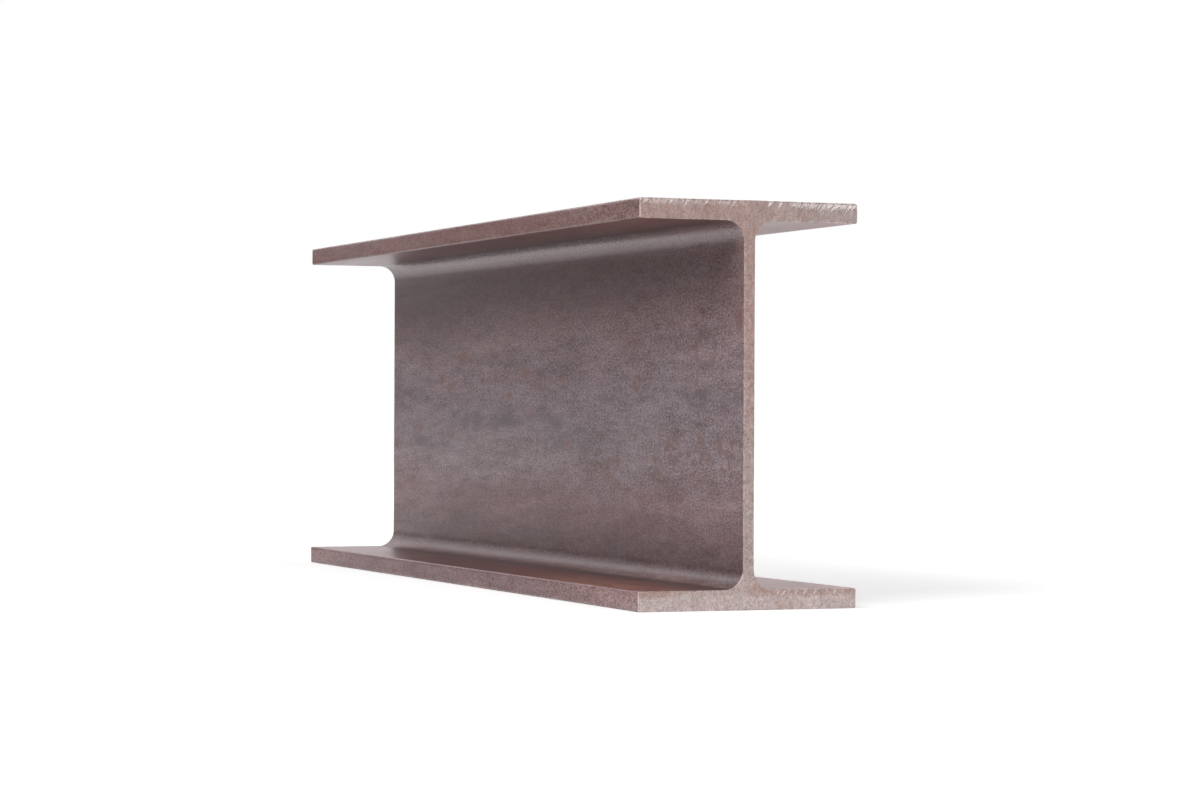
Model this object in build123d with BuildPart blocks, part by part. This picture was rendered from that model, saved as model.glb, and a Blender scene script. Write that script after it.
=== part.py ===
from build123d import *
import os

# Short length of hot-rolled steel I-beam, one solid, in millimetres.
# X runs along the beam, Y across the flanges and Z up.
# The origin is on the underside of the bottom flange, in the middle of its length and width.

# The section, as rolled: parallel flanges, about 16 kg to the metre
section_height = 152.4
flange_width = 88.7
flange_thickness = 7.7
web_thickness = 4.5

# The round between web and flange, and the eased corners of the flange toes
root_radius = 7.6
toe_radius = 0.8

# The length it is sawn to, and the burr taken off every edge of the two cuts
beam_length = 420.0
burr_chamfer = 0.35

# Distances from the middle of the section
half_height = section_height / 2
half_width = flange_width / 2
half_web = web_thickness / 2
flange_inside = half_height - flange_thickness

# The corners down one side of the section, from the top toe past both roots to the bottom toe,
# and the round at each. Half a turn of the section brings them to its other side.
side_corners = [
    (half_width, half_height),
    (half_width, flange_inside),
    (half_web, flange_inside),
    (half_web, -flange_inside),
    (half_width, -flange_inside),
    (half_width, -half_height),
]
side_radii = [toe_radius, toe_radius, root_radius, root_radius, toe_radius, toe_radius]
other_side_corners = [(-across, -up) for across, up in side_corners]

# The section is drawn about its own middle, on the cut at the low end of X
cut_plane = Plane(origin=(-beam_length / 2, 0, half_height), x_dir=(0, 1, 0), z_dir=(1, 0, 0))

with BuildPart() as i_beam:
    with BuildSketch(cut_plane) as section:
        with BuildLine() as outline:
            FilletPolyline(side_corners, other_side_corners, radius=side_radii + side_radii, close=True)
        make_face()
    extrude(amount=beam_length)

    # Both sawn ends, eased all round the section
    sawn_ends = i_beam.faces().filter_by(Axis.X)
    chamfer(sawn_ends.edges(), length=burr_chamfer)

i_beam.part.label = "i_beam"

os.makedirs("parts", exist_ok=True)
export_step(i_beam.part, "parts/i_beam.step")
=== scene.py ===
import math
import random

import bpy
import numpy as np
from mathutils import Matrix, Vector, geometry, noise


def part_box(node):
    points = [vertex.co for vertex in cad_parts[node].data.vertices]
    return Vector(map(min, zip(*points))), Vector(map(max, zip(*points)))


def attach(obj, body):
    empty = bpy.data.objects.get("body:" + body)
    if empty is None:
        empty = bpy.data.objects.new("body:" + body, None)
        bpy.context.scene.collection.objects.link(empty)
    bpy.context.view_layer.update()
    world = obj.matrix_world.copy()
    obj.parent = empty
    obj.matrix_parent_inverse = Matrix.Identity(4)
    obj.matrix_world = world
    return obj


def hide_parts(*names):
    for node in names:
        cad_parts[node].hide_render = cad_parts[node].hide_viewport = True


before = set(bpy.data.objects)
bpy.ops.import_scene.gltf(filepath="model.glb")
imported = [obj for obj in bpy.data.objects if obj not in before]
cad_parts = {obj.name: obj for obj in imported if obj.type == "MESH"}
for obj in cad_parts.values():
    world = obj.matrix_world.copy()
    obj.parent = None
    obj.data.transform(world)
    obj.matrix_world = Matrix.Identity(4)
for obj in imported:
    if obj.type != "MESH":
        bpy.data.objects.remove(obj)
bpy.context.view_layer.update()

# A short sawn length of hot-rolled steel I-beam, in metres.
# X runs along the beam, Y across the flanges and Z up. The end at high X faces the camera.

NODE = "i_beam"
_, node_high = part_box(NODE)

# The rolled section, as in the CAD model
HALF_LENGTH = node_high.x
HALF_WIDTH = node_high.y
TOP = node_high.z
FLANGE = 0.0077
HALF_WEB = 0.00225
ROOT_RADIUS = 0.0076
TOE_RADIUS = 0.0008
BURR = 0.00035

# Spacing of the mesh round the section and along the beam
OUTER_GAP = 0.0005
INNER_GAP = 0.0015
TOE_GAP = 0.001
ARC_GAP = 0.001
LONG_GAP = 0.006
GAP_GROWTH = 1.5

# Shallow waves that the rolls leave along the beam
ROLL_LENGTH = 0.055
ROLL_WIDTH = 0.006
ROLL_DEPTH = 0.00005

# Saw lines up the cut ends, and how unevenly the burr was taken off
SAW_PITCH = 0.0011
SAW_RUN = 0.05
SAW_DEPTH = 0.000012
SAW_FINER = 2.3
SAW_FINE_SHARE = 0.5
LOW_END_SEED = 3
HIGH_END_SEED = 7
FINE_SEED_STEP = 5
BURR_PITCH = 0.0022
BURR_SPREAD = 0.4

# Spacing of the points on a cut end, and of the finer ones where its edge is torn
CUT_GAP_Y = 0.00042
CUT_GAP_Z = 0.0007
CUT_MARGIN = 0.0006
TORN_BAND = 0.0042
TORN_GAP = 0.00018

# Metal torn by the saw on the near end, in rows.
# Each row: the height it starts from, first and last Y, spacing, length, half width and strength.
TORN_EDGES = (
    (TOP, -0.0430, -0.0050, 0.0024, 0.0024, 0.00048, 0.85),
    (TOP, -0.0400, -0.0060, 0.0082, 0.0034, 0.00065, 1.00),
    (TOP, 0.0098, 0.0190, 0.0044, 0.0028, 0.00120, 1.10),
    (TOP, 0.0205, 0.0440, 0.0010, 0.0034, 0.00042, 1.20),
    (TOP, 0.0315, 0.0445, 0.0021, 0.0042, 0.00050, 1.20),
    (FLANGE - 0.0008, 0.0116, 0.0400, 0.0039, 0.0022, 0.00034, 0.90),
)
TEAR_LEAN = 0.70
TEAR_DEPTH = 0.00030
TEAR_NOTCH = 0.00025
TEAR_SEED = 11

# How much tears differ from their row: shift in spacings, then shares of length, half width and strength
TEAR_SHIFT = 0.22
TEAR_LENGTHS = (0.72, 1.15)
TEAR_WIDTHS = (0.80, 1.25)
TEAR_STRENGTHS = (0.72, 1.1)

# How far a tear narrows to its tip, how soft its sides are, and how its notch fades into the skin
TEAR_TAPER = 0.7
TEAR_SOFTNESS = 1.5
NOTCH_SHARES = (0.8, 0.4, 0.1)

# The angle, in degrees, from which an edge shows sharp
SHARP_ANGLE = 35


def rounded_outline(corners, radii, gaps):
    """Points round a closed outline of square corners, each one rounded, and the outward direction at each.

    The corners run anticlockwise. A gap is the spacing along the straight that leaves its corner.
    """
    points = []
    outward = []
    for index, corner in enumerate(corners):
        here = Vector(corner)
        back = (Vector(corners[index - 1]) - here).normalized()
        onward = (Vector(corners[(index + 1) % len(corners)]) - here).normalized()
        centre = here + (back + onward) * radii[index]
        side = 1 if onward.cross(back) > 0 else -1
        steps = max(4, round(radii[index] * math.pi / 2 / ARC_GAP))
        for step in range(steps + 1):
            angle = math.pi / 2 * step / steps
            ray = -(onward * math.cos(angle) + back * math.sin(angle))
            points.append(centre + ray * radii[index])
            outward.append(ray * side)

        start = points[-1]
        end = Vector(corners[(index + 1) % len(corners)]) - onward * radii[(index + 1) % len(radii)]
        steps = max(1, round((end - start).length / gaps[index]))
        for step in range(1, steps):
            points.append(start.lerp(end, step / steps))
            outward.append(outward[-1])
    return np.array(points), np.array(outward)


def section_outline():
    """The section's outline in Y and Z. Half a turn of one side gives the other."""
    side = [
        (HALF_WIDTH, 0),
        (HALF_WIDTH, FLANGE),
        (HALF_WEB, FLANGE),
        (HALF_WEB, TOP - FLANGE),
        (HALF_WIDTH, TOP - FLANGE),
        (HALF_WIDTH, TOP),
    ]
    other_side = [(-across, TOP - up) for across, up in side]
    radii = [TOE_RADIUS, TOE_RADIUS, ROOT_RADIUS, ROOT_RADIUS, TOE_RADIUS, TOE_RADIUS]
    gaps = [TOE_GAP, INNER_GAP, INNER_GAP, INNER_GAP, TOE_GAP, OUTER_GAP]
    return rounded_outline(side + other_side, radii + radii, gaps + gaps)


def length_stations():
    """Places along X for the rings of the skin, close together at both cuts."""
    depths = [BURR]
    gap = BURR
    while gap < LONG_GAP:
        depths.append(depths[-1] + gap)
        gap *= GAP_GROWTH
    reach = HALF_LENGTH - depths[-1]
    middle = np.linspace(-reach, reach, round(2 * reach / LONG_GAP) + 1)
    ends = HALF_LENGTH - np.array(depths[:-1])
    return np.concatenate([-ends, middle, ends[::-1]])


def within_section(y, z, margin):
    """True where a point lies at least the margin inside the section's outline."""
    across = np.abs(y)
    up = np.minimum(z, TOP - z)
    in_flange = (up < FLANGE - margin) & (across < HALF_WIDTH - margin)
    in_web = across < HALF_WEB - margin
    from_arc_y = HALF_WEB + ROOT_RADIUS - across
    from_arc_z = FLANGE + ROOT_RADIUS - up
    in_root = (from_arc_y > 0) & (from_arc_z > 0) & (np.hypot(from_arc_y, from_arc_z) > ROOT_RADIUS + margin)
    return (up > margin) & (in_flange | in_web | in_root)


def torn_edge_tears():
    """Every tear of the near end, as edge height, Y at the edge, length, half width and strength."""
    dice = random.Random(TEAR_SEED)
    tears = []
    for edge, first, last, pitch, length, half_width, strength in TORN_EDGES:
        for index in range(int((last - first) / pitch) + 1):
            tears.append((
                edge,
                first + pitch * (index + dice.uniform(-TEAR_SHIFT, TEAR_SHIFT)),
                length * dice.uniform(*TEAR_LENGTHS),
                half_width * dice.uniform(*TEAR_WIDTHS),
                strength * dice.uniform(*TEAR_STRENGTHS),
            ))
    return tears


def torn(y, z):
    """How much the metal is torn at points of the near end, from 0 to 1."""
    most = np.zeros(len(y))
    for edge, tear_y, length, half_width, strength in torn_edge_tears():
        below = np.clip((edge - z) / length, 0, 1)
        middle = tear_y - TEAR_LEAN * (edge - z)
        width = half_width * (1 - TEAR_TAPER * below) + 0.3 * TORN_GAP
        across = np.clip(TEAR_SOFTNESS * (1 - np.abs(y - middle) / width), 0, 1)
        reach = np.where((z > edge - length) & (z < edge + TORN_GAP), 1 - below ** 2, 0)
        most = np.maximum(most, strength * across * reach)
    return np.clip(most, 0, 1)


def saw_lines(y, z, seed):
    """Height of the saw's lines on a cut end, which run up the section."""
    fine_seed = seed + FINE_SEED_STEP
    coarse = [noise.noise(Vector((a / SAW_PITCH, b / SAW_RUN, seed))) for a, b in zip(y, z)]
    fine = [noise.noise(Vector((SAW_FINER * a / SAW_PITCH, b / SAW_RUN, fine_seed))) for a, b in zip(y, z)]
    return SAW_DEPTH * (np.array(coarse) + SAW_FINE_SHARE * np.array(fine))


def skin_rings(outline, outward, stations):
    """Points of the rolled skin, one ring of the outline to each station."""
    rings = np.empty((len(stations), len(outline), 3))
    for ring, x in zip(rings, stations):
        wave = np.array([
            noise.noise(Vector((x / ROLL_LENGTH, y / ROLL_WIDTH, z / ROLL_WIDTH))) for y, z in outline
        ])
        ring[:, 0] = x
        ring[:, 1:] = outline + outward * (ROLL_DEPTH * (wave - 1))[:, None]
    return rings


def cut_rings(skin, outward, x):
    """The edge of one cut end, drawn in from the skin by an uneven burr chamfer."""
    uneven = np.array([
        noise.noise(Vector((y / BURR_PITCH, z / BURR_PITCH, x))) for y, z in skin[:, 1:]
    ])
    ring = np.empty_like(skin)
    ring[:, 0] = x
    ring[:, 1:] = skin[:, 1:] - outward * (BURR * (1 + BURR_SPREAD * uneven))[:, None]
    return ring


def cut_face(ring, torn_band):
    """Points inside one cut end and the triangles over them and its edge, anticlockwise seen from high X."""
    across = np.arange(-HALF_WIDTH, HALF_WIDTH, CUT_GAP_Y)
    up = np.arange(0, TOP - torn_band, CUT_GAP_Z)
    y, z = [grid.ravel() for grid in np.meshgrid(across, up)]
    if torn_band:
        fine_y, fine_z = np.meshgrid(
            np.arange(-HALF_WIDTH, HALF_WIDTH, TORN_GAP), np.arange(TOP - torn_band, TOP, TORN_GAP)
        )
        y = np.concatenate([y, fine_y.ravel()])
        z = np.concatenate([z, fine_z.ravel()])
    inside = within_section(y, z, CUT_MARGIN)
    y, z = y[inside], z[inside]

    flat = [Vector(point) for point in ring[:, 1:]] + [Vector(point) for point in zip(y, z)]
    edges = [(index, (index + 1) % len(ring)) for index in range(len(ring))]
    made = geometry.delaunay_2d_cdt(flat, edges, [], 1, 1e-9)
    return y, z, np.array(made[2])


def beam_mesh():
    """The dressed beam: rolled skin, eased saw edges and two cut ends, as one closed mesh."""
    outline, outward = section_outline()
    stations = length_stations()
    skin = skin_rings(outline, outward, stations)
    low_edge = cut_rings(skin[0], outward, -HALF_LENGTH)
    high_edge = cut_rings(skin[-1], outward, HALF_LENGTH)
    count = len(outline)

    low_y, low_z, low_triangles = cut_face(low_edge, 0)
    high_y, high_z, high_triangles = cut_face(high_edge, TORN_BAND)
    low_x = -HALF_LENGTH - saw_lines(low_y, low_z, LOW_END_SEED) + 2 * SAW_DEPTH
    low_points = np.column_stack([low_x, low_y, low_z])
    tear = torn(high_y, high_z)
    high_x = HALF_LENGTH + saw_lines(high_y, high_z, HIGH_END_SEED) - 2 * SAW_DEPTH - TEAR_DEPTH * tear
    high_points = np.column_stack([high_x, high_y, high_z])

    # Torn edges are also notched, and the notch runs a little way into the skin
    edge_tear = torn(high_edge[:, 1], high_edge[:, 2])
    upper = high_edge[:, 2] > TOP - 2 * BURR
    high_edge[upper, 2] -= TEAR_NOTCH * edge_tear[upper]
    high_edge[:, 0] -= 0.5 * TEAR_DEPTH * edge_tear
    for ring, share in zip(skin[::-1], NOTCH_SHARES):
        ring[upper, 2] -= share * TEAR_NOTCH * edge_tear[upper]

    rings = np.concatenate([low_edge[None], skin, high_edge[None]])
    points = np.concatenate([rings.reshape(-1, 3), low_points, high_points])
    low_start = len(rings) * count
    high_start = low_start + len(low_points)

    # Skin and chamfers in squares, cut ends in triangles
    here = np.arange(len(rings) - 1)[:, None] * count + np.arange(count)
    beside = np.arange(len(rings) - 1)[:, None] * count + (np.arange(count) + 1) % count
    squares = np.stack([here, beside, beside + count, here + count], axis=-1).reshape(-1, 4)
    low_index = np.concatenate([np.arange(count), low_start + np.arange(len(low_points))])
    last_ring = (len(rings) - 1) * count + np.arange(count)
    high_index = np.concatenate([last_ring, high_start + np.arange(len(high_points))])
    low_faces = low_index[low_triangles][:, ::-1]
    high_faces = high_index[high_triangles]

    mesh = bpy.data.meshes.new("i_beam_dressed")
    mesh.from_pydata(points, [], squares.tolist() + low_faces.tolist() + high_faces.tolist())

    # The skin is the first material, the cut ends and their eased edges the second
    skin_squares = (len(stations) - 1) * count
    material_index = np.ones(len(mesh.polygons), int)
    material_index[count:count + skin_squares] = 0
    mesh.polygons.foreach_set("material_index", material_index)

    # Where the metal is painted bright, partly bare metal and partly painted highlight: torn, by point, and on
    # the eased edges, by face
    tears = np.zeros(len(points))
    tears[high_start:] = tear
    mesh.attributes.new("torn", "FLOAT", "POINT").data.foreach_set("value", tears)
    eased = np.zeros(len(mesh.polygons))
    eased[:count] = 1
    eased[count + skin_squares:len(squares)] = 1
    mesh.attributes.new("eased", "FLOAT", "FACE").data.foreach_set("value", eased)

    lay_flat(mesh, points, rings, outline, low_faces, high_faces)
    mesh.polygons.foreach_set("use_smooth", np.ones(len(mesh.polygons), bool))
    mesh.set_sharp_from_angle(angle=math.radians(SHARP_ANGLE))
    mesh.validate()
    return mesh


# The flat layout, in shares of its square: margin, the skin's span, and where the cut ends stand
LAYOUT_MARGIN = 0.02
LAYOUT_SPAN = 0.96
ENDS_LEFT = 0.68
HIGH_END_BASE = 0.51
ENDS_SCALE = 2


def lay_flat(mesh, points, rings, outline, low_faces, high_faces):
    """A flat layout for baking: the unrolled skin, and beside it both cut ends at twice its scale."""
    count = len(outline)
    steps = np.linalg.norm(np.diff(np.vstack([outline, outline[:1]]), axis=0), axis=1)
    round_trip = np.concatenate([[0], np.cumsum(steps)])
    scale = LAYOUT_SPAN / round_trip[-1]
    x = rings[:, 0, 0]

    left = LAYOUT_MARGIN + (x[:-1, None] - x[0]) * scale + np.zeros((1, count))
    right = LAYOUT_MARGIN + (x[1:, None] - x[0]) * scale + np.zeros((1, count))
    low = LAYOUT_MARGIN + round_trip[None, :-1] * scale + np.zeros((len(x) - 1, 1))
    high = LAYOUT_MARGIN + round_trip[None, 1:] * scale + np.zeros((len(x) - 1, 1))
    skin = np.stack([left, low, left, high, right, high, right, low], axis=-1).reshape(-1, 2)

    ends = []
    for faces, base in ((low_faces, LAYOUT_MARGIN), (high_faces, HIGH_END_BASE)):
        corners = points[faces.ravel()]
        ends.append(np.column_stack([
            ENDS_LEFT + (corners[:, 1] + HALF_WIDTH) * ENDS_SCALE * scale,
            base + corners[:, 2] * ENDS_SCALE * scale,
        ]))
    layer = mesh.uv_layers.new(name="OFBake")
    layer.data.foreach_set("uv", np.concatenate([skin] + ends).astype(np.float32).ravel())


def seen(red, green, blue):
    """A colour as it is seen on a screen, 0 to 255, turned into the light that the shaders work in."""
    light = [((part / 255 + 0.055) / 1.055) ** 2.4 for part in (red, green, blue)]
    return (*light, 1)


# How patterns change a colour: light added to its own before they act, the most that they darken it,
# and how much more red and blue change than green
PATTERN_LIFT = 0.025
PATTERN_DEEPEST = -0.85
PATTERN_RED = 1.12
PATTERN_BLUE = 1.05


class Nodes:
    """Adds shader nodes to one node tree. Each call returns the socket that the new node gives."""

    def __init__(self, tree):
        self.tree = tree

    def feed(self, socket, value):
        if isinstance(value, bpy.types.NodeSocket):
            self.tree.links.new(value, socket)
        else:
            socket.default_value = value

    def add(self, kind, inputs, output=0, **settings):
        node = self.tree.nodes.new("ShaderNode" + kind)
        for name, value in settings.items():
            setattr(node, name, value)
        for name, value in inputs.items():
            self.feed(node.inputs[name], value)
        return node.outputs[output]

    def math(self, operation, first, second=0.0):
        return self.add("Math", {0: first, 1: second}, operation=operation)

    def vector(self, operation, first, second, output="Vector"):
        return self.add("VectorMath", {0: first, 1: second}, output, operation=operation)

    def blend(self, share, first, second, how="MIX"):
        return self.add("Mix", {0: share, 6: first, 7: second}, 2, data_type="RGBA", blend_type=how)

    def fade(self, value, start, end, low=0.0, high=1.0):
        """From low to high, smoothly, as the value goes from start to end."""
        inputs = {"Value": value, "From Min": start, "From Max": end, "To Min": low, "To Max": high}
        return self.add("MapRange", inputs, interpolation_type="SMOOTHSTEP")

    def noise(self, place, size, detail=2.0, roughness=0.5):
        """Noise whose features are about the given size: a length, or one length for each axis."""
        if not isinstance(size, tuple):
            size = (size, size, size)
        stretched = self.vector("MULTIPLY", place, [1 / length for length in size])
        inputs = {"Vector": stretched, "Scale": 1.0, "Detail": detail, "Roughness": roughness}
        return self.add("TexNoise", inputs)

    def vary(self, colour, patterns):
        """The colour, lightened and darkened alike in all its parts.

        Each pattern lies evenly about a half, and comes with its gain.
        """
        change = 0.0
        for pattern, gain in patterns:
            swing = self.math("SUBTRACT", pattern, 0.5)
            change = self.math("ADD", change, self.math("MULTIPLY", swing, gain))
        weight = self.math("ADD", self.add("RGBToBW", {0: colour}), PATTERN_LIFT)
        change = self.math("MULTIPLY", self.math("MAXIMUM", change, PATTERN_DEEPEST), weight)
        red = self.math("MULTIPLY", change, PATTERN_RED)
        blue = self.math("MULTIPLY", change, PATTERN_BLUE)
        return self.blend(1.0, colour, self.add("CombineColor", {0: red, 1: change, 2: blue}), "ADD")

    def steps(self, value, stops):
        """A colour ramp of (place, colour) stops."""
        socket = self.add("ValToRGB", {"Fac": value})
        ramp = socket.node.color_ramp
        for index, (place, colour) in enumerate(stops):
            stop = ramp.elements[index] if index < 2 else ramp.elements.new(place)
            stop.position = place
            stop.color = colour
        return socket


def new_material(name):
    """A material, a way to add nodes to it, and its shader."""
    material = bpy.data.materials.new(name)
    material.use_nodes = True
    return material, Nodes(material.node_tree), material.node_tree.nodes["Principled BSDF"]


# Marks on the web that faces the camera: X, Z, half size along X and Z, and how far they fall along X
RUST_RINGS = (
    (0.105, 0.0850, 0.0040, 0.0034, 0.0),
    (-0.003, 0.0857, 0.0040, 0.0036, 0.0),
)
RUST_SPOTS = (
    (0.170, 0.0630, 0.0048, 0.0036, 0.3),
    (0.188, 0.0605, 0.0040, 0.0052, 0.5),
    (0.199, 0.0620, 0.0018, 0.0034, 0.0),
    (0.196, 0.0545, 0.0022, 0.0040, 0.6),
    (0.178, 0.0570, 0.0030, 0.0018, 0.0),
    (0.190, 0.0520, 0.0026, 0.0014, 0.0),
    (0.129, 0.0208, 0.0014, 0.0008, 0.0),
    (0.090, 0.0740, 0.0022, 0.0016, 0.0),
    (0.135, 0.0730, 0.0020, 0.0013, 0.0),
    (0.158, 0.0990, 0.0026, 0.0013, 0.0),
    (0.146, 0.0820, 0.0028, 0.0016, 0.0),
    (0.105, 0.0835, 0.0030, 0.0015, 0.0),
    (0.028, 0.0605, 0.0030, 0.0024, 0.0),
    (0.022, 0.0875, 0.0050, 0.0020, 0.0),
    (-0.023, 0.0905, 0.0080, 0.0035, 0.0),
    (-0.045, 0.0810, 0.0045, 0.0020, 0.0),
    (-0.062, 0.0890, 0.0050, 0.0036, 0.0),
    (-0.137, 0.0887, 0.0055, 0.0036, 0.0),
    (-0.125, 0.0847, 0.0040, 0.0032, 0.0),
    (-0.169, 0.0660, 0.0048, 0.0032, 0.0),
    (-0.106, 0.0980, 0.0090, 0.0036, 0.0),
    (-0.077, 0.0270, 0.0030, 0.0018, 0.0),
    (0.205, 0.1080, 0.0050, 0.0070, 0.0),
)
DARK_BANDS = (
    (-0.060, 0.0680, 0.1300, 0.0110, 0.0),
    (0.030, 0.0620, 0.0700, 0.0080, 0.05),
    (0.150, 0.0800, 0.0900, 0.0060, 0.0),
    (-0.150, 0.0600, 0.0600, 0.0060, 0.0),
)
DARK_STAINS = (
    (0.174, 0.0980, 0.0110, 0.0085, 0.0),
)
DARK_WISPS = (
    (0.088, 0.0690, 0.0260, 0.0016, 0.0),
    (0.116, 0.0660, 0.0130, 0.0026, 0.15),
    (0.199, 0.0785, 0.0200, 0.0050, 0.0),
    (0.170, 0.0800, 0.0180, 0.0012, 0.0),
    (0.080, 0.0790, 0.0150, 0.0018, 0.0),
    (0.174, 0.0820, 0.0035, 0.0028, 0.0),
    (-0.002, 0.0755, 0.0090, 0.0022, 0.0),
    (0.010, 0.0695, 0.0240, 0.0040, 0.0),
    (0.019, 0.0605, 0.0100, 0.0018, 0.0),
    (0.045, 0.0605, 0.0190, 0.0028, 0.05),
    (-0.047, 0.0690, 0.0200, 0.0028, 0.0),
    (-0.090, 0.0675, 0.0260, 0.0034, 0.0),
    (-0.166, 0.0600, 0.0230, 0.0036, 0.06),
    (-0.157, 0.0890, 0.0120, 0.0026, 0.0),
    (-0.187, 0.1084, 0.0040, 0.0034, 0.0),
    (-0.199, 0.0880, 0.0060, 0.0028, 0.0),
    (-0.111, 0.1030, 0.0070, 0.0020, 0.0),
    (0.019, 0.0910, 0.0050, 0.0018, 0.0),
)
RUST_TRAILS = (
    (0.080, 0.0530, 0.0180, 0.0030, 0.0),
    (0.102, 0.1010, 0.0250, 0.0034, 0.0),
    (0.126, 0.0510, 0.0060, 0.0100, 0.0),
    (0.143, 0.0590, 0.0120, 0.0080, 0.0),
    (-0.050, 0.0556, 0.0260, 0.0022, 0.02),
    (-0.048, 0.0505, 0.0130, 0.0020, 0.0),
    (-0.122, 0.0625, 0.0120, 0.0036, 0.0),
    (-0.036, 0.0925, 0.0110, 0.0030, 0.0),
    (0.160, 0.0560, 0.0300, 0.0050, 0.0),
)


def mark_group():
    """A group that gives how far a point is from a mark's middle, 1 at the mark's edge."""
    group = bpy.data.node_groups.new("mark", "ShaderNodeTree")
    for name, side, kind in (
        ("Place", "INPUT", "NodeSocketVector"),
        ("Middle", "INPUT", "NodeSocketVector"),
        ("Half size", "INPUT", "NodeSocketVector"),
        ("Fall", "INPUT", "NodeSocketFloat"),
        ("Inside", "OUTPUT", "NodeSocketFloat"),
        ("Ring", "OUTPUT", "NodeSocketFloat"),
    ):
        group.interface.new_socket(name, in_out=side, socket_type=kind)
    given = group.nodes.new("NodeGroupInput")
    result = group.nodes.new("NodeGroupOutput")
    nodes = Nodes(group)
    offset = nodes.vector("SUBTRACT", given.outputs["Place"], given.outputs["Middle"])
    drop = nodes.math("MULTIPLY", nodes.add("SeparateXYZ", {0: offset}, "X"), given.outputs["Fall"])
    level = nodes.vector("ADD", offset, nodes.add("CombineXYZ", {2: drop}))
    scaled = nodes.vector("DIVIDE", level, given.outputs["Half size"])
    away = nodes.vector("LENGTH", scaled, (0, 0, 0), "Value")
    inside = nodes.fade(away, 1.0, 0.35)
    ring = nodes.fade(nodes.math("ABSOLUTE", nodes.math("SUBTRACT", away, 0.8)), 0.34, 0.0)
    group.links.new(inside, result.inputs["Inside"])
    group.links.new(ring, result.inputs["Ring"])
    return group


def marks(nodes, group, place, listed, output):
    """The strongest of the listed marks at each point."""
    most = None
    for x, z, half_x, half_z, fall in listed:
        node = nodes.tree.nodes.new("ShaderNodeGroup")
        node.node_tree = group
        nodes.feed(node.inputs["Place"], place)
        node.inputs["Middle"].default_value = (x, 0, z)
        node.inputs["Half size"].default_value = (half_x, 1, half_z)
        node.inputs["Fall"].default_value = fall
        most = node.outputs[output] if most is None else nodes.math("MAXIMUM", most, node.outputs[output])
    return most


# How much painted reflection is added as light, high and low on the web, how many times that in the top root,
# where it is a painted highlight, and its green and blue beside its red
REFLECTION_HIGH = 0.031
REFLECTION_LOW = 0.054
REFLECTION_IN_ROOT = 3.4
REFLECTION_GREEN = 0.92
REFLECTION_BLUE = 0.945


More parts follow.
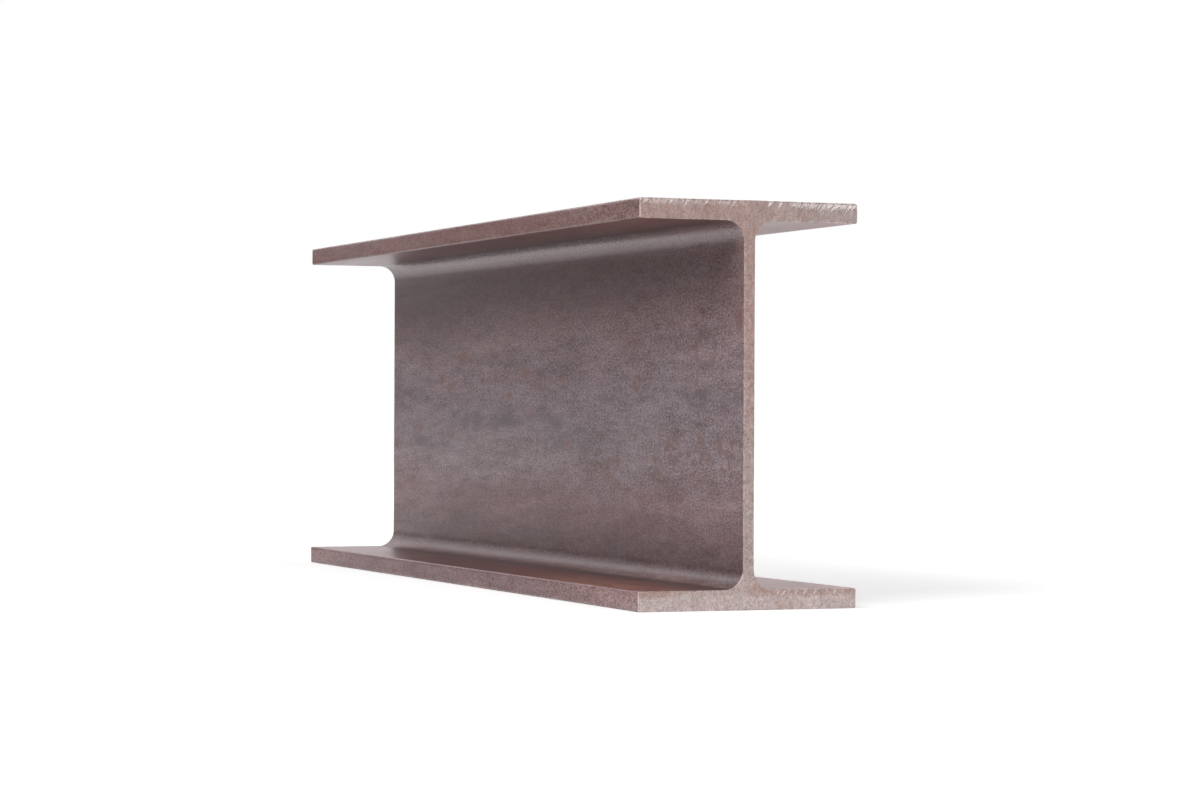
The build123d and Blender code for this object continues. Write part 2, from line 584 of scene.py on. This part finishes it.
def mill_scale():
    """Blue-grey and brown rolling scale with a light bloom of rust, and painted shade, light and reflection on
    the web and roots.
    """
    material, nodes, shader = new_material("mill_scale")
    place = nodes.add("TexCoord", {}, "Object")
    x = nodes.add("SeparateXYZ", {0: place}, "X")
    y = nodes.add("SeparateXYZ", {0: place}, "Y")
    z = nodes.add("SeparateXYZ", {0: place}, "Z")
    across = nodes.math("ABSOLUTE", y)
    along = nodes.math("ABSOLUTE", x)
    underside = nodes.fade(z, 0.0010, 0.0005)
    outside = nodes.math("MAXIMUM", underside, nodes.fade(z, TOP - 0.0010, TOP - 0.0005))
    inside = nodes.math("SUBTRACT", 1.0, outside)
    on_web = nodes.math("MULTIPLY", nodes.fade(across, 0.0085, 0.0035), nodes.fade(y, 0.0050, 0.0030))
    on_web = nodes.math("MULTIPLY", on_web, inside)

    # Patterns at several scales, drawn out along the rolling direction
    aside = nodes.vector("ADD", place, (0.3, 0.1, 0.2))
    clouds = nodes.noise(place, (0.080, 0.020, 0.014), 3.0, 0.6)
    streaks = nodes.noise(place, (0.023, 0.006, 0.0043), 3.0, 0.65)
    mottle = nodes.noise(place, (0.009, 0.0034, 0.0030), 2.0, 0.7)
    grain = nodes.noise(place, (0.0015, 0.0007, 0.0007), 1.0, 0.9)
    drift = nodes.noise(aside, (0.060, 0.012, 0.009), 3.0, 0.6)
    flecks = nodes.noise(aside, (0.0021, 0.0009, 0.0009), 1.0, 0.9)

    # The web by height, its zones ragged at their borders. It is darker next to both flanges: partly the
    # scale's own brown, partly painted shade under the flanges
    wander = nodes.math("MULTIPLY", nodes.math("SUBTRACT", clouds, 0.5), 0.030)
    flutter = nodes.math("MULTIPLY", nodes.math("SUBTRACT", streaks, 0.5), 0.012)
    height = nodes.math("ADD", z, nodes.math("ADD", wander, flutter))
    web = nodes.steps(nodes.math("DIVIDE", height, TOP), (
        (0.10, seen(71, 44, 43)),
        (0.18, seen(89, 57, 56)),
        (0.26, seen(101, 74, 74)),
        (0.35, seen(109, 93, 95)),
        (0.47, seen(103, 89, 94)),
        (0.59, seen(101, 84, 88)),
        (0.70, seen(105, 83, 83)),
        (0.80, seen(76, 44, 43)),
        (0.90, seen(76, 42, 39)),
    ))

    # Flange insides are browner, and the lower one is rusty towards its near toe
    low_flange = nodes.fade(z, 0.10, 0.04)
    inner = nodes.blend(low_flange, seen(97, 61, 58), seen(88, 48, 41))
    rusty = nodes.math("MULTIPLY", nodes.fade(across, 0.006, 0.040), nodes.fade(x, 0.02, 0.17))
    rusty = nodes.math("MULTIPLY", rusty, nodes.fade(low_flange, 0.0, 1.0, 0.25, 1.0))
    inner = nodes.blend(rusty, inner, seen(143, 93, 74))
    far_side = nodes.blend(low_flange, seen(116, 62, 56), seen(133, 77, 67))
    far_side = nodes.blend(nodes.fade(x, 0.09, 0.02), far_side, seen(122, 100, 97))
    inner = nodes.blend(nodes.fade(y, 0.002, 0.012, 0.0, 0.8), inner, far_side)

    # Toes and outer faces are paler, the toes most of all at their ends
    toe_ends = nodes.math("MAXIMUM", nodes.fade(x, 0.07, 0.19), nodes.fade(x, -0.10, -0.21, 0.0, 0.6))
    low_toe = nodes.blend(toe_ends, seen(106, 75, 76), seen(133, 101, 98))
    top_toe = nodes.blend(nodes.fade(x, 0.06, 0.21), seen(94, 53, 43), seen(108, 80, 73))
    toe = nodes.blend(low_flange, top_toe, low_toe)
    toe = nodes.blend(nodes.fade(y, 0.0, 0.004), toe, seen(128, 106, 103))
    on_toe = nodes.fade(across, HALF_WIDTH - 0.0009, HALF_WIDTH - 0.0004)
    flange = nodes.blend(on_toe, inner, toe)
    flange = nodes.blend(outside, flange, seen(134, 114, 111))
    # Painted light: the web is paler high up at the near end and low down at the far end
    lit_near_high = nodes.math("MULTIPLY", nodes.fade(x, 0.07, 0.21), nodes.fade(z, 0.08, 0.13, 0.55, 1.0))
    lit_far_low = nodes.math("MULTIPLY", nodes.fade(x, -0.12, -0.21), nodes.fade(z, 0.08, 0.04))
    painted_light = nodes.math("MULTIPLY", nodes.math("MAXIMUM", lit_near_high, lit_far_low), 0.13)
    web = nodes.blend(painted_light, web, seen(170, 146, 146))
    # Painted shade: the web is darker high up towards the far end
    shaded_far_high = nodes.math("MULTIPLY", nodes.fade(x, -0.02, -0.20), nodes.fade(z, 0.09, 0.13))
    web = nodes.blend(nodes.math("MULTIPLY", shaded_far_high, 0.80), web, seen(60, 21, 18))
    # Painted light: the web's far side, at high Y, is paler where the lamps light it less
    web = nodes.blend(nodes.fade(y, -0.001, 0.001, 0.0, 0.25), web, seen(160, 142, 144))
    colour = nodes.blend(on_web, flange, web)

    # Painted shade: dark lines where the roots run out into the flanges, darkest half-way along
    high_start = nodes.fade(across, 0.0044, 0.0068)
    low_start = nodes.fade(across, 0.0062, 0.0085)
    root_shade_from = nodes.blend(low_flange, high_start, low_start)
    painted_root_shade = nodes.math("MULTIPLY", root_shade_from, nodes.fade(across, 0.0170, 0.0100))
    painted_root_shade = nodes.math("MULTIPLY", painted_root_shade, nodes.fade(along, 0.06, 0.20, 0.75, 0.35))
    colour = nodes.blend(nodes.math("MULTIPLY", painted_root_shade, inside), colour, seen(34, 24, 23))

    # Painted highlight: the lower root is paler towards the near end
    root_highlight = nodes.math("MULTIPLY", nodes.fade(across, 0.0038, 0.0050), nodes.fade(across, 0.0085, 0.0062))
    root_highlight = nodes.math("MULTIPLY", root_highlight, nodes.fade(x, 0.0, 0.14, 0.0, 0.30))
    root_highlight = nodes.math("MULTIPLY", nodes.math("MULTIPLY", root_highlight, low_flange), inside)
    colour = nodes.blend(root_highlight, colour, seen(160, 136, 136))

    # Light and dark in patches and grain, and a drift between warm and cool
    colour = nodes.vary(colour, ((clouds, 1.3), (streaks, 1.15), (mottle, 1.0), (grain, 3.6)))
    warmth = nodes.math("ADD", nodes.math("MULTIPLY", flecks, 0.70), nodes.math("MULTIPLY", drift, 0.30))
    tint = nodes.blend(nodes.fade(warmth, 0.30, 0.70), (1.15, 0.96, 0.91, 1), (0.87, 0.99, 1.07, 1))
    colour = nodes.blend(1.0, colour, tint, "MULTIPLY")

    # Drop stains, wisps and trails, only on the side of the web in view
    group = mark_group()
    warp = nodes.add("TexNoise", {"Vector": place, "Scale": 160.0, "Detail": 3.0, "Roughness": 0.65}, "Color")
    sway = nodes.vector("SUBTRACT", warp, (0.5, 0.5, 0.5))
    dropped = nodes.vector("ADD", place, nodes.vector("MULTIPLY", sway, (0.006, 0, 0.004)))
    dropped = nodes.vector("MULTIPLY", dropped, (1, 0, 1))
    drawn = nodes.vector("ADD", place, nodes.vector("MULTIPLY", sway, (0.020, 0, 0.005)))
    drawn = nodes.vector("MULTIPLY", drawn, (1, 0, 1))
    in_view = nodes.math("MULTIPLY", on_web, nodes.fade(y, 0.0005, -0.0005))
    beads = nodes.fade(nodes.noise(place, (0.0050, 0.003, 0.0026), 1.0), 0.44, 0.60)
    wisps = marks(nodes, group, drawn, DARK_WISPS, "Inside")
    wisps = nodes.math("MULTIPLY", wisps, nodes.fade(streaks, 0.66, 0.40, 0.40, 1.0))
    bands = marks(nodes, group, drawn, DARK_BANDS, "Inside")
    bands = nodes.math("MULTIPLY", bands, nodes.fade(streaks, 0.7, 0.3))
    stains = marks(nodes, group, dropped, DARK_STAINS, "Ring")
    rings = marks(nodes, group, dropped, RUST_RINGS, "Ring")
    spots = marks(nodes, group, dropped, RUST_SPOTS, "Inside")
    trails = nodes.math("MULTIPLY", marks(nodes, group, drawn, RUST_TRAILS, "Inside"), beads)
    for mask, strength, stain in (
        (bands, 0.45, seen(66, 59, 66)),
        (wisps, 0.62, seen(64, 54, 58)),
        (stains, 0.42, seen(68, 52, 50)),
        (trails, 0.72, seen(94, 57, 47)),
        (spots, 0.70, seen(100, 58, 45)),
        (rings, 0.85, seen(94, 50, 38)),
    ):
        share = nodes.math("MULTIPLY", nodes.math("MULTIPLY", mask, in_view), strength)
        colour = nodes.blend(share, colour, stain)

    # Rust freckles where the bloom lies: low on the web, on the flanges and, thinly, all over
    freckles = nodes.fade(nodes.noise(place, (0.0040, 0.0018, 0.0018), 2.0, 0.6), 0.58, 0.72)
    bloom = nodes.math("MULTIPLY", nodes.fade(drift, 0.62, 0.42), nodes.fade(z, 0.050, 0.026, 0.20, 0.8))
    bloom = nodes.math("MAXIMUM", bloom, nodes.math("SUBTRACT", 0.5, on_web))
    freckled = nodes.math("MULTIPLY", nodes.math("MULTIPLY", freckles, bloom), 0.7)
    colour = nodes.blend(freckled, colour, seen(124, 80, 67))

    # Painted reflection: a grey light added over the web and the toes, most low down, and a painted highlight
    # in the top root
    web_reflection = nodes.math("MULTIPLY", on_web, nodes.fade(z, 0.133, 0.140, 1.0, REFLECTION_IN_ROOT))
    reflecting = nodes.math("MAXIMUM", web_reflection, nodes.math("MULTIPLY", on_toe, inside))
    painted_reflection = nodes.math("MULTIPLY", reflecting, nodes.fade(z, 0.085, 0.055, REFLECTION_HIGH, REFLECTION_LOW))
    painted_reflection = nodes.math("MULTIPLY", painted_reflection, nodes.fade(z, 0.010, 0.035, 0.60, 1.0))
    thinned = nodes.fade(x, -0.20, 0.12, 1.12, 0.70)
    painted_reflection = nodes.math("MULTIPLY", painted_reflection, nodes.fade(z, 0.060, 0.100, thinned, 1.0))
    reflection_green = nodes.math("MULTIPLY", painted_reflection, REFLECTION_GREEN)
    reflection_blue = nodes.math("MULTIPLY", painted_reflection, REFLECTION_BLUE)
    grey = nodes.add("CombineColor", {0: painted_reflection, 1: reflection_green, 2: reflection_blue})
    colour = nodes.blend(1.0, colour, grey, "ADD")
    nodes.feed(shader.inputs["Base Color"], colour)

    # Rust and dark scale are duller than the blue-grey scale
    sheen = nodes.math("ADD", nodes.math("MULTIPLY", grain, 0.5), nodes.math("MULTIPLY", clouds, 0.5))
    in_root = nodes.math("MULTIPLY", nodes.fade(across, 0.0024, 0.0036), nodes.fade(across, 0.0110, 0.0080))
    in_root = nodes.math("MULTIPLY", in_root, inside)
    in_root = nodes.math("MULTIPLY", in_root, nodes.fade(z, 0.04, 0.10, 0.0, 0.08))
    dullness = nodes.fade(sheen, 0.3, 0.7, 0.32, 0.42)
    dullness = nodes.math("SUBTRACT", dullness, in_root)
    nodes.feed(shader.inputs["Roughness"], dullness)
    shader.inputs["IOR"].default_value = 1.45
    shader.inputs["Specular Tint"].default_value = (1.0, 0.84, 0.92, 1)

    relief = nodes.math("ADD", nodes.math("MULTIPLY", grain, 0.6), nodes.math("MULTIPLY", mottle, 0.8))
    bump = nodes.add("Bump", {"Strength": 0.8, "Distance": 0.0001, "Height": relief})
    nodes.feed(shader.inputs["Normal"], bump)
    return material


def sawn_steel():
    """Bare steel as the saw left it, with the first rust on it, and torn edges and burrs painted pale, partly
    bare metal and partly painted highlight.
    """
    material, nodes, shader = new_material("sawn_steel")
    place = nodes.add("TexCoord", {}, "Object")
    y = nodes.add("SeparateXYZ", {0: place}, "Y")
    z = nodes.add("SeparateXYZ", {0: place}, "Z")
    tear = nodes.add("Attribute", {}, "Fac", attribute_name="torn")
    eased = nodes.add("Attribute", {}, "Fac", attribute_name="eased")

    lines = nodes.noise(place, (0.5, 0.0008, 0.012), 3.0, 0.7)
    blotch = nodes.noise(place, (0.02, 0.010, 0.014), 3.0, 0.6)
    mottle = nodes.noise(place, 0.0022, 2.0, 0.8)
    tints = nodes.noise(nodes.vector("ADD", place, (0.3, 0.1, 0.2)), 0.0022, 2.0, 0.9)
    speckle = nodes.noise(place, 0.0008, 1.0, 0.9)

    # Rustiest high on the web, paler to the right of the top flange, palest on the bottom flange
    colour = nodes.blend(nodes.fade(z, 0.040, 0.100), seen(174, 156, 152), seen(169, 143, 138))
    colour = nodes.blend(nodes.fade(z, 0.016, 0.007), colour, seen(195, 180, 178))
    to_right = nodes.math("MULTIPLY", nodes.fade(y, -0.01, 0.035), nodes.fade(z, 0.135, 0.145))
    colour = nodes.blend(to_right, colour, seen(170, 154, 151))
    patch = nodes.fade(y, -0.004, 0.004, 0.20, 0.50)
    patch = nodes.math("ADD", patch, nodes.fade(y, -0.022, -0.036, 0.0, 0.35))
    patch = nodes.math("MULTIPLY", patch, nodes.fade(z, 0.0040, 0.0065))
    patch = nodes.math("MULTIPLY", patch, nodes.fade(z, 0.012, 0.009))
    rust = nodes.math("MAXIMUM", patch, nodes.fade(blotch, 0.50, 0.80, 0.0, 0.35))
    colour = nodes.blend(rust, colour, seen(158, 120, 108))
    from_plain = nodes.math("ABSOLUTE", nodes.math("SUBTRACT", y, 0.005))
    worn = nodes.fade(z, TOP - 0.0030, TOP - 0.0012)
    worn = nodes.math("MULTIPLY", worn, nodes.fade(from_plain, 0.004, 0.012))
    worn = nodes.math("MULTIPLY", worn, nodes.fade(mottle, 0.35, 0.65, 0.2, 0.6))
    colour = nodes.blend(worn, colour, seen(206, 190, 188))
    colour = nodes.vary(colour, ((lines, 0.5), (mottle, 0.8), (speckle, 1.3)))
    tint = nodes.blend(nodes.fade(tints, 0.38, 0.62), (1.04, 0.99, 0.97, 1), (0.97, 1.01, 1.02, 1))
    colour = nodes.blend(1.0, colour, tint, "MULTIPLY")
    # Torn metal and the eased burr edges are pale: partly bare steel, partly painted highlight
    burr = nodes.math("MULTIPLY", eased, nodes.fade(mottle, 0.44, 0.58, 0.25, 1.0))
    burr = nodes.math("MULTIPLY", burr, nodes.fade(nodes.math("ABSOLUTE", y), 0.004, 0.012, 0.2, 1.0))
    bare_and_glint = nodes.math("MAXIMUM", nodes.fade(tear, 0.05, 0.6), nodes.math("MULTIPLY", burr, 0.5))
    colour = nodes.blend(bare_and_glint, colour, seen(238, 229, 226))
    nodes.feed(shader.inputs["Base Color"], colour)

    shader.inputs["Metallic"].default_value = 0.35
    nodes.feed(shader.inputs["Roughness"], nodes.fade(speckle, 0.3, 0.7, 0.42, 0.60))
    relief = nodes.math("ADD", nodes.math("MULTIPLY", lines, 0.3), nodes.math("MULTIPLY", speckle, 0.5))
    bump = nodes.add("Bump", {"Strength": 0.4, "Distance": 0.0001, "Height": relief})
    nodes.feed(shader.inputs["Normal"], bump)
    return material


# The dressed beam
beam = bpy.data.objects.new("i_beam_dressed", beam_mesh())
beam.data.materials.append(mill_scale())
beam.data.materials.append(sawn_steel())
bpy.context.scene.collection.objects.link(beam)
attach(beam, "root")
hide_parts(NODE)

# The studio: a white floor under a white surround, with soft lamps.
# What is mirrored in the steel has its own level and is a little mauve, as are the two lamps behind.
FLOOR_HALF = 12.0
FLOOR_ALBEDO = 0.85
FLOOR_GLOW_SEEN = 0.42
FLOOR_GLOW_FAR = 1.0
FLOOR_NEAR = 0.5
FLOOR_FAR = 2.0
FLOOR_GLOW_MIRRORED = 0.45
FLOOR_GLOW_BEYOND = 0.62
FLOOR_LOW_Y = -0.05
FLOOR_HIGH_Y = 0.25
BACKDROP_AROUND = 158.0
BACKDROP_EDGE = 0.80
BACKDROP_FULL = 0.96
BACKDROP_MIRRORED = 0.69
SIDES_MIRRORED = 0.03
WHITE = (1, 1, 1, 1)
MIRRORED_TINT = (1.0, 0.92, 0.945, 1)
TINTED_LAMPS = ("back", "backdrop")
LAMP_SIDE = 1.0
LAMP_DISTANCE = 2.0
LAMP_TARGET = Vector((0, 0, 0.08))

# Each lamp's direction from the beam in degrees, round from +X and up, and its power in watts
LAMPS = (
    ("key", -60, 35, 25.5),
    ("left_back", -150, 35, 8.2),
    ("back", 190, 17, 3.0),
    ("backdrop", 163, 8, 3.0),
    ("end", 30, 10, 8.8),
    ("right", 90, 35, 13.0),
    ("overhead", 0, 88, 9.0),
)

# The camera: lens and sensor in millimetres, its place, and its turn in degrees
LENS = 97.5
SENSOR_WIDTH = 36.0
EYE_PLACE = (1.3121, -0.4961, 0.0724)
EYE_TURN = (90.261, -0.247, 68.395)


def rays(nodes, *names):
    """One for rays of any of the named kinds, and nought for the rest."""
    path = nodes.tree.nodes.new("ShaderNodeLightPath")
    most = path.outputs[names[0]]
    for name in names[1:]:
        most = nodes.math("MAXIMUM", most, path.outputs[name])
    return most


def studio_floor():
    """A plain white floor that reads as the backdrop does, and keeps the beam's shadow."""
    mesh = bpy.data.meshes.new("floor")
    turns = ((-1, -1), (1, -1), (1, 1), (-1, 1))
    mesh.from_pydata([(FLOOR_HALF * x, FLOOR_HALF * y, 0) for x, y in turns], [], [(0, 1, 2, 3)])
    floor = bpy.data.objects.new("floor", mesh)
    bpy.context.scene.collection.objects.link(floor)
    material, nodes, shader = new_material("floor_white")
    shader.inputs["Base Color"].default_value = (FLOOR_ALBEDO, FLOOR_ALBEDO, FLOOR_ALBEDO, 1)
    shader.inputs["Roughness"].default_value = 1.0
    shader.inputs["Specular IOR Level"].default_value = 0.0
    mirrored = rays(nodes, "Is Glossy Ray", "Is Transmission Ray")
    nodes.feed(shader.inputs["Emission Color"], nodes.blend(mirrored, WHITE, MIRRORED_TINT))
    place = nodes.add("TexCoord", {}, "Object")
    away = nodes.vector("LENGTH", place, (0, 0, 0), "Value")
    glow = nodes.fade(away, FLOOR_NEAR, FLOOR_FAR, FLOOR_GLOW_SEEN, FLOOR_GLOW_FAR)
    seen_glow = nodes.math("MULTIPLY", rays(nodes, "Is Camera Ray"), glow)
    y = nodes.add("SeparateXYZ", {0: place}, "Y")
    by_side = nodes.fade(y, FLOOR_LOW_Y, FLOOR_HIGH_Y, FLOOR_GLOW_MIRRORED, FLOOR_GLOW_BEYOND)
    mirrored_glow = nodes.math("MULTIPLY", mirrored, by_side)
    nodes.feed(shader.inputs["Emission Strength"], nodes.math("ADD", seen_glow, mirrored_glow))
    mesh.materials.append(material)


def studio_world():
    """A surround that is white where it is seen and fainter where it is mirrored, and gives no other light."""
    world = bpy.data.worlds.new("studio")
    world.use_nodes = True
    nodes = Nodes(world.node_tree)
    background = world.node_tree.nodes["Background"]
    glossy = rays(nodes, "Is Glossy Ray")
    nodes.feed(background.inputs["Color"], nodes.blend(glossy, WHITE, MIRRORED_TINT))
    direction = nodes.add("TexCoord", {}, "Generated")
    behind = (math.cos(math.radians(BACKDROP_AROUND)), math.sin(math.radians(BACKDROP_AROUND)), 0)
    facing = nodes.vector("DOT_PRODUCT", direction, behind, "Value")
    mirrored = nodes.fade(facing, BACKDROP_EDGE, BACKDROP_FULL, SIDES_MIRRORED, BACKDROP_MIRRORED)
    nodes.feed(background.inputs["Strength"], nodes.math(
        "ADD",
        rays(nodes, "Is Camera Ray", "Is Transmission Ray"),
        nodes.math("MULTIPLY", glossy, mirrored),
    ))
    bpy.context.scene.world = world


def studio_lamps():
    """Square soft lamps round the beam, turned to it."""
    for name, around, up, power in LAMPS:
        light = bpy.data.lights.new(name, "AREA")
        light.shape = "SQUARE"
        light.size = LAMP_SIDE
        light.energy = power
        if name in TINTED_LAMPS:
            light.color = MIRRORED_TINT[:3]
        lamp = bpy.data.objects.new(name, light)
        a, e = math.radians(around), math.radians(up)
        away = Vector((math.cos(a) * math.cos(e), math.sin(a) * math.cos(e), math.sin(e)))
        lamp.location = LAMP_TARGET + away * LAMP_DISTANCE
        lamp.rotation_euler = away.to_track_quat("Z", "Y").to_euler()
        lamp.visible_camera = False
        bpy.context.scene.collection.objects.link(lamp)


def photo_camera():
    """The camera where the photograph was taken from."""
    camera = bpy.data.cameras.new("camera")
    camera.lens = LENS
    camera.sensor_width = SENSOR_WIDTH
    eye = bpy.data.objects.new("camera", camera)
    eye.location = EYE_PLACE
    eye.rotation_euler = [math.radians(angle) for angle in EYE_TURN]
    bpy.context.scene.collection.objects.link(eye)
    bpy.context.scene.camera = eye


studio_floor()
studio_world()
studio_lamps()
photo_camera()
bpy.context.scene.view_settings.view_transform = "Standard"
